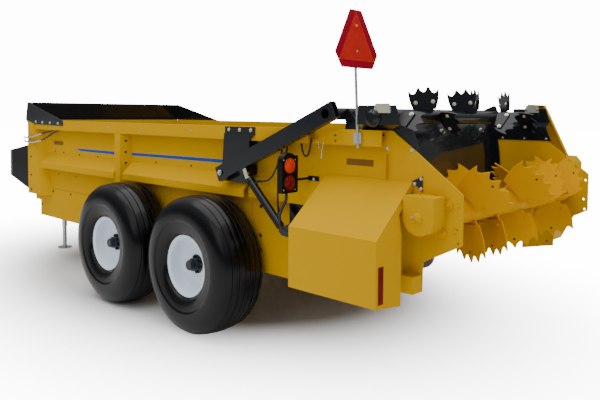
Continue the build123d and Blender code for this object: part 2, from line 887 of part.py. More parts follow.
upper_rows = (            # angle up from the rear, (place along the shaft, pitch) of each paddle
    (97, ((478, 50), (-8, 50), (-173, -50), (-649, -50))),
    (-15, ((830, -50), (345, 50), (-418, -50), (-789, 50))),
    (217, ((747, 50), (142, 50), (-413, 50))),
)
lower_rows = (
    (37, ((626, 62), (27, 62), (-277, -60), (-594, -60))),
    (-83, ((526, 62), (243, 62), (-58, -60), (-674, -60))),
    (153, ((806, 62), (370, 62), (-343, -43), (-806, 62))),
)
upper_axle, lower_axle = (upper_x, upper_z), (lower_x, lower_z)
with BuildPart() as upper_tube_part:
    cross_bar(upper_x, upper_z, (-beater_half - 20, beater_half + 20), upper_tube)
    cross_bar(upper_x, upper_z, (-housing_out, housing_out), upper_shaft)
    for angle, places in upper_rows:
        for y, pitch in places:
            paddle(upper_axle, angle, y, pitch, (upper_tube - 12, 118, 0, 110, 135, 0), 0, bracket_thick)
save(upper_tube_part, "upper_beater_tube")
with BuildPart() as upper_paddles:
    for angle, places in upper_rows:
        for y, pitch in places:
            size = (upper_tube + 4, upper_reach, 23, 142, 197, 4)
            paddle(upper_axle, angle, y, pitch, size, 24, -paddle_thick)
save(upper_paddles, "upper_beater_paddles")

with BuildPart() as lower_tube_part:
    cross_bar(lower_x, lower_z, (-beater_half, beater_half), lower_tube)
    cross_bar(lower_x, lower_z, (-guard_bore + 1, guard_bore - 1), lower_shaft)
    for angle, places in lower_rows:
        for y, pitch in places:
            paddle(lower_axle, angle, y, pitch, (lower_tube - 14, 178, 0, 150, 232, 0), 0, bracket_thick)
save(lower_tube_part, "lower_beater_tube")
with BuildPart() as lower_paddles:
    for angle, places in lower_rows:
        for y, pitch in places:
            size = (lower_tube + 12, lower_reach, 41, 236, 304, 5)
            paddle(lower_axle, angle, y, pitch, size, 28, -paddle_thick)
save(lower_paddles, "lower_beater_paddles")

# Tail lamps: rounded housings on rods from the side, with two lenses each
lamp_x, lamp_deep = rear + 1120, 47.0
lamp_in, lamp_out = 1081.0, 1209.0
lamp_low, lamp_top = 1109.0, 1368.0
lamp_y, lamp_half = (lamp_in + lamp_out) / 2, (lamp_out - lamp_in) / 2
lens_radius, lens_deep = 50.0, 12.0
with BuildPart() as lamps:
    for side, tag in sides:
        with BuildSketch(Plane.YZ.offset(lamp_x)):
            with BuildLine():
                Polyline(
                    (side * lamp_in, lamp_top - lamp_half),
                    (side * lamp_in, lamp_low),
                    (side * lamp_out, lamp_low),
                    (side * lamp_out, lamp_top - lamp_half),
                )
                ThreePointArc(
                    (side * lamp_out, lamp_top - lamp_half),
                    (side * lamp_y, lamp_top),
                    (side * lamp_in, lamp_top - lamp_half),
                )
            make_face()
        extrude(amount=lamp_deep)
        block((lamp_x + 16, lamp_x + 20), side_span(lamp_in - 30, lamp_in, side), (lamp_low, lamp_top - 20))
        low, high = side_span(wall_out + 5, lamp_in - 4, side)
        bar((lamp_x + 18, low, 1190), (lamp_x + 18, high, 1190), 8)
        low, high = side_span(wall_out, wall_out + 5, side)
        block((rear + 1057, rear + 1150), (low, high), (1175, 1206))
save(lamps, "tail_lamps")
for label, z in (("amber_lenses", 1286), ("red_lenses", 1175)):
    with BuildPart() as lens:
        for side, tag in sides:
            with BuildSketch(Plane.YZ.offset(lamp_x)):
                with Locations((side * lamp_y, z)):
                    Circle(lens_radius)
            extrude(amount=-lens_deep, taper=25)
    save(lens, label)

# Conduits from the lamps round the cylinder's bracket to the side
conduit_radius = 10.0
with BuildPart() as lamp_cables:
    for side, tag in sides:
        route = (
            (rear + 1145, 1148, lamp_low),
            (rear + 1145, 1148, 1058),
            (rear + 1186, 1150, 1002),
            (rear + 1214, 1146, 936),
            (rear + 1206, 1132, 868),
            (rear + 1150, 1104, 826),
            (rear + 1086, 1052, 824),
            (rear + 1052, 996, 846),
            (rear + 1052, wall_out, 846),
        )
        tube([(x, side * y, z) for x, y, z in route], conduit_radius)
save(lamp_cables, "lamp_cables")

# Slow vehicle sign on its leaning pole, with the clamp on the channel
pole_radius = 9.0
pole_y = 1004.0
pole_foot, pole_top = Vector(rear + 676, pole_y, 1412), Vector(rear + 716, pole_y, 2150)
lean = (pole_top - pole_foot).normalized()
sign_back = Vector(-lean.Z, 0, lean.X)
sign_out = (              # half width, height above the sign's foot
    (149, 0), (203, 89), (54, 352),
)
sign_lug = 3.0            # from the pole to the sign
sign_foot = pole_foot + lean * ((1896 - pole_foot.Z) / lean.Z) + sign_back * (pole_radius + sign_lug)
sign_plane = Plane(origin=sign_foot, x_dir=(0, -1, 0), z_dir=sign_back)
with BuildPart() as sign:
    with BuildSketch(sign_plane):
        with BuildLine():
            Polyline(
                *((half, high) for half, high in sign_out),
                *((-half, high) for half, high in reversed(sign_out)),
                close=True,
            )
        make_face()
    extrude(amount=3)
save(sign, "sign")
with BuildPart() as pole:
    bar(pole_foot, pole_top, pole_radius)
    block((rear + 655, rear + 712), (987, pole_y), (1440, 1505))
    with BuildSketch(sign_plane) as lugs:
        with Locations((0, 102), (0, 257)):
            Rectangle(34, 24)
    extrude(lugs.sketch, amount=-(pole_radius + sign_lug))
save(pole, "sign_pole")

# Drawbar: two legs that meet at the hitch, with the input shaft's stand
leg_wide, leg_back, leg_front = 80.0, box_front - 400, hitch_x - 200
leg_slope = (sill_out - leg_wide) / (leg_front - leg_back)


def leg_out(x):
    """Outer edge of the drawbar's left leg."""
    return sill_out - leg_slope * (x - leg_back)


stand_x = hitch_x - 800
with BuildPart() as tongue:
    for side, tag in sides:
        prism_z(
            [
                (leg_back, side * sill_out),
                (leg_back, side * (sill_out - leg_wide)),
                (leg_front, side * -leg_wide / 4),
                (leg_front, side * leg_wide),
            ],
            tongue_low,
            tongue_top,
        )
    reach = leg_out(stand_x) - leg_wide / 2
    block((stand_x - 6, stand_x + 6), (-reach, reach), (tongue_low + 20, tongue_top))
    block((stand_x - 20, stand_x + 20), (-70, 70), (tongue_top - 20, input_z + 66))
    bar((stand_x - 30, 0, input_z), (stand_x + 30, 0, input_z), input_tube + run_gap, Mode.SUBTRACT)
save(tongue, "tongue")
clevis_plate = 20.0
with BuildPart() as hitch:
    for z in (hitch_z - clevis_span / 2, hitch_z + clevis_span / 2 - clevis_plate):
        block((leg_front, hitch_x), (-40, 40), (z, z + clevis_plate))
    low, high = hitch_z - clevis_span / 2, hitch_z + clevis_span / 2
    block((leg_front, leg_front + 20), (-40, 40), (low, high))
    bar((hitch_x - 45, 0, low - 1), (hitch_x - 45, 0, high + 1), clevis_bore, Mode.SUBTRACT)
save(hitch, "hitch")

# Parking jack on the left leg
jack_x = box_front + 160
jack_plate = leg_out(jack_x - 40)
jack_y = jack_plate + 42
with BuildPart() as jack:
    bar((jack_x, jack_y, 12), (jack_x, jack_y, 520), 24)
    bar((jack_x, jack_y, 260), (jack_x, jack_y, 900), 30)
    bar((jack_x, jack_y, 0), (jack_x, jack_y, 12), 80)
    bar((jack_x, jack_y, 860), (jack_x + 90, jack_y, 860), 8)
    bar((jack_x + 82, jack_y, 860), (jack_x + 82, jack_y, 960), 8)
    block((jack_x - 40, jack_x + 40), (jack_plate, jack_y), (tongue_low + 10, tongue_top - 10))
save(jack, "jack")
with BuildPart() as driveline:
    bar((box_front, 0, input_z), (input_tip - input_free, 0, input_z), input_tube)
    bar((input_tip - input_free, 0, input_z), (input_tip, 0, input_z), pto_radius)
save(driveline, "driveline")
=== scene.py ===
import bpy, bmesh
from math import cos, pi, radians, sin
from mathutils import Matrix, Vector


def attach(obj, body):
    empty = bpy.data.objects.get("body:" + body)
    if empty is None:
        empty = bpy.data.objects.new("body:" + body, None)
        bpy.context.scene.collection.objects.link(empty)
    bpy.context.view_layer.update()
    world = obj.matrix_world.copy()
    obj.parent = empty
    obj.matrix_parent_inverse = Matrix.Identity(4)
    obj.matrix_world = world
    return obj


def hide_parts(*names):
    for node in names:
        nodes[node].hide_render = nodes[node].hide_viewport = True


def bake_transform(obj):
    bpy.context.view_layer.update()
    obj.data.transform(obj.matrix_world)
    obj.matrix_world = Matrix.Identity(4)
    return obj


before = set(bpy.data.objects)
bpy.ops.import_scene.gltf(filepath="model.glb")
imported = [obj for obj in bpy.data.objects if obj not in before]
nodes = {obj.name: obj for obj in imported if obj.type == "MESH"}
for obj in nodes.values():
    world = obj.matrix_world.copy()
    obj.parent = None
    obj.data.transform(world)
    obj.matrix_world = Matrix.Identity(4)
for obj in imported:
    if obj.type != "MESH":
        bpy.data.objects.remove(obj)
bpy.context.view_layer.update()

rear = -3.4    # rear edge of the side plates; most lengths along the machine start there
sides = (("left", 1), ("right", -1))
scene = bpy.context.scene
print("spreader frame loaded")


# camera: behind the left rear corner, a little above the rail
cameraSettings = {"place": (-5.1438, 4.0403, 1.6213), "heading": radians(-46.2386), "down": radians(2.716),
                  "roll": radians(0.4534), "lens": 38.28, "sensor": 36.0, "shiftY": -0.0941, "farthest": 200}
lensData = bpy.data.cameras.new("spreaderCamera")
lensData.lens, lensData.sensor_width = cameraSettings["lens"], cameraSettings["sensor"]
lensData.shift_y, lensData.clip_end = cameraSettings["shiftY"], cameraSettings["farthest"]
heading, down, roll = (cameraSettings[key] for key in ("heading", "down", "roll"))
level = Vector((cos(heading), sin(heading), 0))
ahead = level * cos(down) - Vector((0, 0, sin(down)))
above = Vector((0, 0, cos(down))) + level * sin(down)
across = Vector((sin(heading), -cos(heading), 0)) * cos(roll) + above * sin(roll)
upright = across.cross(ahead).normalized()
cameraObject = bpy.data.objects.new("spreaderCamera", lensData)
scene.collection.objects.link(cameraObject)
cameraTurn = Matrix((across, upright, -ahead)).transposed().to_4x4()
cameraObject.matrix_world = Matrix.Translation(cameraSettings["place"]) @ cameraTurn
scene.camera = cameraObject


# hoses from the cylinder ports to the rail, laid as fixed tubes between the barrel and the box
hoseSettings = {"diameter": 0.012, "stiffness": "stiff", "lay": "loose", "smoothness": 10, "roundness": 5}
hoseRoutes = {
    "hose_lower": [(-2.0847, 1.0537, 0.9904), (-2.075, 1.052, 1.05), (-2.07, 1.04, 1.14),
                   (-2.075, 1.01, 1.235), (-2.082, 0.975, 1.34), (-2.085, 0.962, 1.446)],
    "hose_upper": [(-1.9217, 1.0534, 1.1493), (-1.96, 1.052, 1.152), (-2.008, 1.041, 1.18),
                   (-2.035, 1.018, 1.258), (-2.046, 0.982, 1.352), (-2.049, 0.968, 1.446)],
}
hosePieces = []
for hoseName, route in hoseRoutes.items():
    for sideName, side in sides:
        hoseCurve = bpy.data.curves.new(f"{hoseName}_{sideName}_run", "CURVE")
        hoseCurve.dimensions = "3D"
        line = hoseCurve.splines.new("NURBS")
        line.points.add(len(route) - 1)
        for point, (x, y, z) in zip(line.points, route):
            point.co = (x, y * side, z, 1)
        line.order_u, line.use_endpoint_u, line.resolution_u = 3, True, hoseSettings["smoothness"]
        hoseLine = bpy.data.objects.new(f"{hoseName}_{sideName}_line", hoseCurve)
        centreMesh = bpy.data.meshes.new_from_object(hoseLine)    # the bare line, then the tube round it
        hoseCurve.bevel_depth = hoseSettings["diameter"] / 2
        hoseCurve.bevel_resolution, hoseCurve.use_fill_caps = hoseSettings["roundness"], True
        hoseMesh = bpy.data.meshes.new_from_object(hoseLine)
        hosePiece = bpy.data.objects.new(f"{hoseName}_{sideName}_run", hoseMesh)
        scene.collection.objects.link(hosePiece)
        bpy.data.objects.remove(hoseLine)
        for face in hoseMesh.polygons:
            face.use_smooth = True
        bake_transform(hosePiece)
        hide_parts(f"{hoseName}_{sideName}")
        hosePieces.append(hosePiece)
print("hoses laid")


# adds a shader node: its own features first, then its sockets by name
def addNode(tree, kind, sockets=(), **features):
    node = tree.nodes.new(kind)
    for feature, value in features.items():
        setattr(node, feature, value)
    for socket, value in dict(sockets).items():
        node.inputs[socket].default_value = value
    return node


# finishes: the colour drifts to a second one in soft patches, dust gathers low down
finishSettings = {"patchDetail": 6.0, "grainDetail": 3.0, "driftFrom": 0.35, "driftTo": 0.7, "coatRoughness": 0.08,
                  "dustTop": 0.9, "dustColour": (0.30, 0.27, 0.22, 1), "smoothest": 0.8, "roughest": 1.25,
                  "relief": 0.0006}


def finish(name, colour, second, roughness, metallic=0.0, patch=1.3, grain=420.0, bump=0.12,
           dust=0.0, coat=0.0, strength=0.5, shine=0.5):
    material = bpy.data.materials.new(name)
    material.use_nodes = True
    tree = material.node_tree
    link = tree.links.new
    shader = tree.nodes["Principled BSDF"]
    for socket, value in (("Metallic", metallic), ("Coat Weight", coat), ("Specular IOR Level", shine),
                          ("Coat Roughness", finishSettings["coatRoughness"])):
        shader.inputs[socket].default_value = value
    place = addNode(tree, "ShaderNodeTexCoord")
    patches = addNode(tree, "ShaderNodeTexNoise", {"Scale": patch, "Detail": finishSettings["patchDetail"]})
    link(place.outputs["Object"], patches.inputs["Vector"])
    ramp = addNode(tree, "ShaderNodeValToRGB")
    first, last = ramp.color_ramp.elements
    first.position, last.position = finishSettings["driftFrom"], finishSettings["driftTo"]
    first.color = (*colour, 1)
    last.color = (*(c + (s - c) * strength for c, s in zip(colour, second)), 1)
    link(patches.outputs["Fac"], ramp.inputs["Fac"])
    tinted = ramp.outputs["Color"]
    if dust:
        height = addNode(tree, "ShaderNodeSeparateXYZ")
        link(place.outputs["Object"], height.inputs["Vector"])
        low = addNode(tree, "ShaderNodeMapRange",
                      {"From Min": finishSettings["dustTop"], "From Max": 0.0, "To Max": dust})
        link(height.outputs["Z"], low.inputs["Value"])
        film = addNode(tree, "ShaderNodeMath", operation="MULTIPLY")
        link(low.outputs["Result"], film.inputs[0])
        link(patches.outputs["Fac"], film.inputs[1])
        dusty = addNode(tree, "ShaderNodeMix", {"B": finishSettings["dustColour"]}, data_type="RGBA")
        link(film.outputs["Value"], dusty.inputs["Factor"])
        link(tinted, dusty.inputs["A"])
        tinted = dusty.outputs["Result"]
    link(tinted, shader.inputs["Base Color"])
    polish = addNode(tree, "ShaderNodeMapRange", {"To Min": roughness * finishSettings["smoothest"],
                                                  "To Max": roughness * finishSettings["roughest"]})
    link(patches.outputs["Fac"], polish.inputs["Value"])
    link(polish.outputs["Result"], shader.inputs["Roughness"])
    fine = addNode(tree, "ShaderNodeTexNoise", {"Scale": grain, "Detail": finishSettings["grainDetail"]})
    link(place.outputs["Object"], fine.inputs["Vector"])
    relief = addNode(tree, "ShaderNodeBump", {"Strength": bump, "Distance": finishSettings["relief"]})
    link(fine.outputs["Fac"], relief.inputs["Height"])
    link(relief.outputs["Normal"], shader.inputs["Normal"])
    return material


# paints
yellowPaint = finish("yellowPaint", (0.64, 0.352, 0.0), (0.57, 0.295, 0.0), 0.28, patch=0.9, shine=0.01)
beaterYellow = finish("beaterYellow", (0.66, 0.325, 0.0), (0.56, 0.26, 0.0), 0.28, patch=0.9, shine=0.01)
blackPaint = finish("blackPaint", (0.004, 0.006, 0.009), (0.009, 0.012, 0.017), 0.22,
                    patch=1.6, coat=0.15, shine=0.3, dust=0.01)
sheetBlack = finish("sheetBlack", (0.006, 0.008, 0.010), (0.014, 0.018, 0.022), 0.20,
                    patch=2.4, coat=0.15, shine=0.35)
gateGrey = finish("gateGrey", (0.010, 0.012, 0.014), (0.035, 0.040, 0.044), 0.13, patch=1.4, coat=0.5, shine=0.6)
# deepBlack: the black front shield, and also the painted shade discs in the lower paddle holes
deepBlack = finish("deepBlack", (0.0015, 0.0015, 0.002), (0.003, 0.003, 0.0035), 0.35, patch=3.0, shine=0.08)
# painted highlight: the lit flange of the black front shield, painted pale bluish grey
paintedHighlightEdge = finish("paintedHighlightEdge", (0.16, 0.21, 0.24), (0.11, 0.15, 0.17), 0.3, patch=5.0, shine=0.3)
rimPaint = finish("rimPaint", (0.78, 0.88, 0.97), (0.68, 0.78, 0.88), 0.28,
                  patch=2.2, coat=0.1, shine=0.3, dust=0.04)
blueStripe = finish("blueStripe", (0.003, 0.060, 0.42), (0.005, 0.075, 0.50), 0.3, patch=5.0, shine=0.1)
brownTag = finish("brownTag", (0.20, 0.10, 0.005), (0.15, 0.07, 0.004), 0.4, patch=12.0, shine=0.2)

# metals
wornFloor = finish("wornFloor", (0.16, 0.15, 0.14), (0.06, 0.05, 0.045), 0.5,
                   metallic=0.6, patch=4.0, grain=160, bump=0.3)
zincPlate = finish("zincPlate", (0.66, 0.67, 0.50), (0.50, 0.48, 0.30), 0.34, metallic=0.7, patch=22.0)
polishedZinc = finish("polishedZinc", (0.60, 0.66, 0.66), (0.45, 0.50, 0.50), 0.26, metallic=0.9, patch=9.0)
chromeRod = finish("chromeRod", (0.72, 0.73, 0.75), (0.55, 0.56, 0.58), 0.1, metallic=1.0, patch=9.0, bump=0.03)

# rubber and plastic
tyreRubber = finish("tyreRubber", (0.0012, 0.0015, 0.0022), (0.0022, 0.003, 0.0042), 0.24,
                    patch=3.0, grain=300, bump=0.2, coat=0.08, shine=0.2, dust=0.0015)
hoseRubber = finish("hoseRubber", (0.012, 0.012, 0.013), (0.022, 0.022, 0.022), 0.45, patch=12.0, grain=500, bump=0.3)
lampPlastic = finish("lampPlastic", (0.0025, 0.0025, 0.003), (0.005, 0.005, 0.006), 0.35,
                     patch=14.0, grain=700, bump=0.25, shine=0.15)
redGlass = finish("redGlass", (0.22, 0.002, 0.004), (0.10, 0.0, 0.001), 0.12,
                  patch=30.0, grain=260, bump=0.5, shine=0.3)
amberGlass = finish("amberGlass", (0.85, 0.045, 0.002), (0.50, 0.012, 0.0), 0.12,
                    patch=30.0, grain=260, bump=0.5, shine=0.3)
reflectorRed = finish("reflectorRed", (0.16, 0.001, 0.001), (0.11, 0.0, 0.0), 0.25, patch=14.0, shine=0.05)
orangeFace = finish("orangeFace", (1.0, 0.050, 0.034), (0.92, 0.040, 0.026), 0.3,
                    patch=6.0, grain=900, bump=0.05, strength=0.4, shine=0.1)
redBorder = finish("redBorder", (0.34, 0.004, 0.018), (0.24, 0.003, 0.012), 0.24,
                   patch=7.0, grain=1100, bump=0.1, shine=0.15)

nodeFinishes = {
    yellowPaint: ("chassis", "side_left", "side_right", "front_wall", "rear_plate_left", "rear_plate_right",
                  "hub_guard", "chain_shield", "drive_shield", "tongue", "axle_beams"),
    beaterYellow: ("lower_beater_tube", "lower_beater_paddles"),
    blackPaint: ("gate_frame", "gate_brackets", "cylinder_barrel_left", "cylinder_barrel_right",
                 "cylinder_brackets", "upper_beater_tube", "upper_beater_paddles", "hitch", "upper_bearings"),
    sheetBlack: ("front_extension", "upper_panels"),
    gateGrey: ("gate_sheet",),
    deepBlack: ("front_shield",),
    wornFloor: ("floor", "apron"),
    polishedZinc: ("sign_pole", "driveline", "jack"),
    chromeRod: ("cylinder_rod_left", "cylinder_rod_right"),
    lampPlastic: ("tail_lamps",),
    amberGlass: ("amber_lenses",),
    redGlass: ("red_lenses",),
    redBorder: ("sign",),
    hoseRubber: ("hydraulic_lines", "lamp_cables"),
}
for material, nodeNames in nodeFinishes.items():
    for nodeName in nodeNames:
        if nodeName in nodes:
            nodes[nodeName].data.materials.clear()
            nodes[nodeName].data.materials.append(material)
for hosePiece in hosePieces:
    hosePiece.data.materials.append(hoseRubber)
print("finishes mixed")


# shared ways of making a piece: a finished mesh goes on its body, with its slot and the nodes it stands for
def keepPiece(shape, name, body, material, replaced=(), smooth=0.0):
    bmesh.ops.recalc_face_normals(shape, faces=shape.faces)
    mesh = bpy.data.meshes.new(name)
    shape.to_mesh(mesh)
    shape.free()
    mesh.materials.append(material)
    piece = bpy.data.objects.new(name, mesh)
    scene.collection.objects.link(piece)
    if smooth:
        mesh.shade_smooth()
        mesh.set_sharp_from_angle(angle=radians(smooth))
    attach(piece, body)
    if replaced:
        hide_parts(*replaced)
    return piece


# stands what is made along Z at a place, along a direction
def turnTo(direction, place):
    return Matrix.Translation(place) @ Vector(direction).to_track_quat("Z", "Y").to_matrix().to_4x4()


# spins a profile of (along the axis, radius) pairs into a closed ring
def spinRing(shape, outline, axis, centre, steps):
    axis = Vector(axis).normalized()
    radial = Vector((0, 0, 1)) if abs(axis.z) < 0.9 else Vector((1, 0, 0))
    line = [shape.verts.new(Vector(centre) + axis * a + radial * r) for a, r in outline]
    edges = [shape.edges.new(pair) for pair in zip(line, line[1:])]
    bmesh.ops.spin(shape, geom=line + edges, cent=centre, axis=axis, angle=2 * pi, steps=steps, use_merge=True)
    bmesh.ops.remove_doubles(shape, verts=shape.verts, dist=1e-5)


# closed solid: a polygon pushed along a direction
def prism(shape, corners, push):
    base = shape.faces.new([shape.verts.new(corner) for corner in corners])
    pushed = bmesh.ops.extrude_face_region(shape, geom=[base], use_keep_orig=True)
    moved = [part for part in pushed["geom"] if isinstance(part, bmesh.types.BMVert)]
    bmesh.ops.translate(shape, vec=push, verts=moved)


# a prism of (x from the rear edge, z) corners, from a face y outwards by a thickness
def sidePrism(shape, corners, y, thick):
    prism(shape, [(rear + x, y, z) for x, z in corners], (0, thick, 0))


wireSettings = {"roundness": 3, "smoothness": 6}


# smooth round wires through (x from the rear edge, y, z) points
def wire(name, material, routes, radius, body="box"):
    curve = bpy.data.curves.new(name, "CURVE")
    curve.dimensions = "3D"
    curve.bevel_depth, curve.bevel_resolution, curve.use_fill_caps = radius, wireSettings["roundness"], True
    for route in routes:
        line = curve.splines.new("NURBS")
        line.points.add(len(route) - 1)
        for point, (x, y, z) in zip(line.points, route):
            point.co = (rear + x, y, z, 1)
        line.order_u, line.use_endpoint_u, line.resolution_u = 3, True, wireSettings["smoothness"]
    curve.materials.append(material)
    piece = bpy.data.objects.new(name, curve)
    scene.collection.objects.link(piece)
    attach(piece, body)


# wheels: where the four of them stand
wheelSettings = {"rear": rear + 2.010, "front": rear + 3.130, "height": 0.510, "middle": 1.1515}
wheels = [(place, sideName, side, (wheelSettings[place], side * wheelSettings["middle"], wheelSettings["height"]))
          for place in ("front", "rear") for sideName, side in sides]

# tyres: ribbed tread between smooth shoulders, rings on the sidewall
tyreSettings = {"crown": 0.510, "camber": 0.9, "groove": 0.007, "grooveWide": 0.006, "lipWide": 0.002,
                "grooves": (-0.128, -0.073, -0.020, 0.020, 0.073, 0.128), "steps": 96}
sidewall = [(0.150, 0.207), (0.1505, 0.221), (0.154, 0.229), (0.160, 0.236), (0.170, 0.241), (0.176, 0.248),
            (0.1845, 0.272), (0.1915, 0.298), (0.1955, 0.322), (0.1975, 0.331), (0.2005, 0.334), (0.2020, 0.341),
            (0.2020, 0.362), (0.2000, 0.386), (0.1955, 0.410), (0.1880, 0.434), (0.1775, 0.456), (0.1640, 0.4745)]
tread = []
for groove in tyreSettings["grooves"]:
    top = tyreSettings["crown"] - tyreSettings["camber"] * groove * groove
    wide, lip, deep = tyreSettings["grooveWide"] / 2, tyreSettings["lipWide"], tyreSettings["groove"]
    tread += [(groove - wide - lip, top - 0.0004), (groove - wide, top - 0.0024), (groove - wide * 0.6, top - deep),
              (groove + wide * 0.6, top - deep), (groove + wide, top - 0.0024), (groove + wide + lip, top - 0.0004)]
tyreOutline = [(-a, r) for a, r in sidewall] + tread + list(reversed(sidewall))
for place, sideName, side, centre in wheels:
    tyreShape = bmesh.new()
    spinRing(tyreShape, tyreOutline + [tyreOutline[0]], (0, 1, 0), centre, tyreSettings["steps"])
    keepPiece(tyreShape, f"tyre_{place}_{sideName}_ribbed", f"wheel_{place}_{sideName}", tyreRubber,
              (f"tyre_{place}_{sideName}",), smooth=42)
print("tyres done")


# rims: deep white dish with a rolled flange; the hub in it is black with nuts round it
rimSettings = {"steps": 96, "hubSteps": 36, "nutWide": 0.0115, "nutHigh": 0.016, "nutRing": 0.057, "nutOut": 0.0655,
               "nuts": 6, "nutTurn": 0.3, "studWide": 0.006, "studLong": 0.030}
rimOutline = [(-0.156, 0.198), (-0.156, 0.222), (-0.1535, 0.2255), (-0.1505, 0.223), (-0.150, 0.206), (0.150, 0.206),
              (0.1505, 0.222), (0.153, 0.2262), (0.156, 0.2262), (0.158, 0.2235), (0.1575, 0.2175), (0.153, 0.212),
              (0.149, 0.205), (0.146, 0.199), (0.120, 0.197), (0.092, 0.195), (0.080, 0.192), (0.066, 0.182),
              (0.058, 0.166), (0.054, 0.146), (0.0535, 0.100), (0.0535, 0.060), (0.044, 0.060), (0.044, 0.140),
              (0.060, 0.190), (-0.120, 0.197)]
hubOutline = [(-0.062, 0.0385), (-0.062, 0.070), (0.0535, 0.070), (0.057, 0.066), (0.064, 0.050), (0.098, 0.048),
              (0.103, 0.046), (0.104, 0.040), (0.107, 0.0385), (0.128, 0.0365), (0.133, 0.032), (0.134, 0.0)]
for place, sideName, side, centre in wheels:
    outward = (0, side, 0)
    rimShape = bmesh.new()
    spinRing(rimShape, rimOutline + [rimOutline[0]], outward, centre, rimSettings["steps"])
    keepPiece(rimShape, f"rim_{place}_{sideName}_dish", f"wheel_{place}_{sideName}", rimPaint,
              (f"rim_{place}_{sideName}",), smooth=35)
    hubShape = bmesh.new()
    spinRing(hubShape, hubOutline, outward, centre, rimSettings["hubSteps"])
    for n in range(rimSettings["nuts"]):
        turn = 2 * pi * n / rimSettings["nuts"] + rimSettings["nutTurn"]
        spot = Vector(centre) + Vector((cos(turn) * rimSettings["nutRing"], side * rimSettings["nutOut"],
                                        sin(turn) * rimSettings["nutRing"]))
        for segments, radius, long in ((6, rimSettings["nutWide"], rimSettings["nutHigh"]),
                                       (12, rimSettings["studWide"], rimSettings["studLong"])):
            bmesh.ops.create_cone(hubShape, cap_ends=True, segments=segments, radius1=radius, radius2=radius,
                                  depth=long, matrix=turnTo(outward, spot))
    keepPiece(hubShape, f"hub_{place}_{sideName}", f"wheel_{place}_{sideName}", blackPaint, smooth=35)
print("rims done")


# bolts: a low hexagon with a domed end on a washer, at each (place, direction out of the surface)
boltSettings = {"wide": 0.0105, "high": 0.0065, "taper": 0.9, "washer": 0.0150, "washerTaper": 0.94,
                "washerThick": 0.003, "washerLift": 0.0010, "headLift": 0.0022, "dome": 0.62, "domeFlat": 0.35}


def boltSet(name, material, spots, scale=1.0, body="box"):
    wide, high = boltSettings["wide"], boltSettings["high"]
    shape = bmesh.new()
    for spot, outward in spots:
        outward, spot = Vector(outward).normalized(), Vector(spot)
        bmesh.ops.create_cone(shape, cap_ends=True, segments=16, radius1=boltSettings["washer"] * scale,
                              radius2=boltSettings["washer"] * boltSettings["washerTaper"] * scale,
                              depth=boltSettings["washerThick"] * scale,
                              matrix=turnTo(outward, spot + outward * boltSettings["washerLift"] * scale))
        bmesh.ops.create_cone(shape, cap_ends=True, segments=6, radius1=wide * scale,
                              radius2=wide * boltSettings["taper"] * scale, depth=high * scale,
                              matrix=turnTo(outward, spot + outward * (boltSettings["headLift"] + high / 2) * scale))
        domeTurn = turnTo(outward, spot + outward * (boltSettings["headLift"] + high) * scale)
        bmesh.ops.create_uvsphere(shape, u_segments=8, v_segments=4, radius=wide * boltSettings["dome"] * scale,
                                  matrix=domeTurn @ Matrix.Diagonal((1, 1, boltSettings["domeFlat"], 1)))
    return keepPiece(shape, name, body, material, smooth=30)


# bolt places at (x from the rear edge, z), on a face at half width y: on both sides, or facing left only
def bothSides(points, y):
    return [((rear + x, side * y, z), (0, side, 0)) for x, z in points for side in (1, -1)]


def facingLeft(points, y):
    return [((rear + x, y, z), (0, 1, 0)) for x, z in points]


# half widths of the faces that the bolts of the box sit on
faceOut = {"rail": 1.012, "bracket": 1.013, "skirt": 0.9372, "post": 1.0172, "plate": 0.937, "bearing": 1.067,
           "panel": 0.936, "plateInside": -0.920, "gateBracket": 0.943, "channel": 0.987, "guard": 0.947,
           "pivot": 1.088, "side": 0.931, "railSide": 1.007}
boltSet("rail_bolts", zincPlate,
        bothSides([(4.62, 1.497), (4.80, 1.499), (4.98, 1.502), (5.14, 1.506)], faceOut["rail"])
        + bothSides([(1.64, 1.498), (1.76, 1.498), (1.88, 1.498)], faceOut["bracket"]))
boltSet("skirt_bolts", blackPaint,
        bothSides([(1.613, 0.74), (1.613, 0.64), (1.613, 0.54), (1.613, 0.95), (0.985, 0.74), (0.985, 0.62),
                   (1.30, 0.765), (3.74, 0.765), (4.10, 0.765), (4.50, 0.765), (4.90, 0.765), (5.17, 0.765),
                   (5.17, 0.60), (3.74, 0.60)], faceOut["skirt"]), 0.8)
boltSet("post_bolts", blackPaint,
        bothSides([(5.26, 1.33), (5.26, 1.12), (5.26, 0.92), (5.26, 0.76)], faceOut["post"]), 0.8)
print("bolts placed")


# emblem: orange triangle inside the dark red border, with two zinc bolts, square to the leaning pole
emblemSettings = {"foot": (rear + 0.676, 1.004, 1.412), "top": (rear + 0.716, 1.004, 2.150), "signLow": 1.896,
                  "signOut": 0.012, "triangle": [(-0.174, 0.044), (0.174, 0.044), (0.0, 0.346)],
                  "thick": 0.0008, "lift": 0.0034, "boltLift": 0.0044, "bolts": (0.102, 0.257)}
poleFoot, poleTop = Vector(emblemSettings["foot"]), Vector(emblemSettings["top"])
lean = (poleTop - poleFoot).normalized()
signBack = Vector((-lean.z, 0, lean.x))
signFoot = poleFoot + lean * ((emblemSettings["signLow"] - poleFoot.z) / lean.z) + signBack * emblemSettings["signOut"]


def onSign(u, v, lift):
    return signFoot + Vector((0, -1, 0)) * u + lean * v + signBack * lift


emblemShape = bmesh.new()
emblemCorners = [emblemShape.verts.new(onSign(u, v, emblemSettings["lift"])) for u, v in emblemSettings["triangle"]]
emblemFaces = [emblemShape.faces.new(emblemCorners)]
bmesh.ops.solidify(emblemShape, geom=emblemFaces, thickness=emblemSettings["thick"])
keepPiece(emblemShape, "emblem_triangle", "box", orangeFace)
boltSet("emblem_bolts", zincPlate,
        [(onSign(0, v, emblemSettings["boltLift"]), signBack) for v in emblemSettings["bolts"]], 0.5)


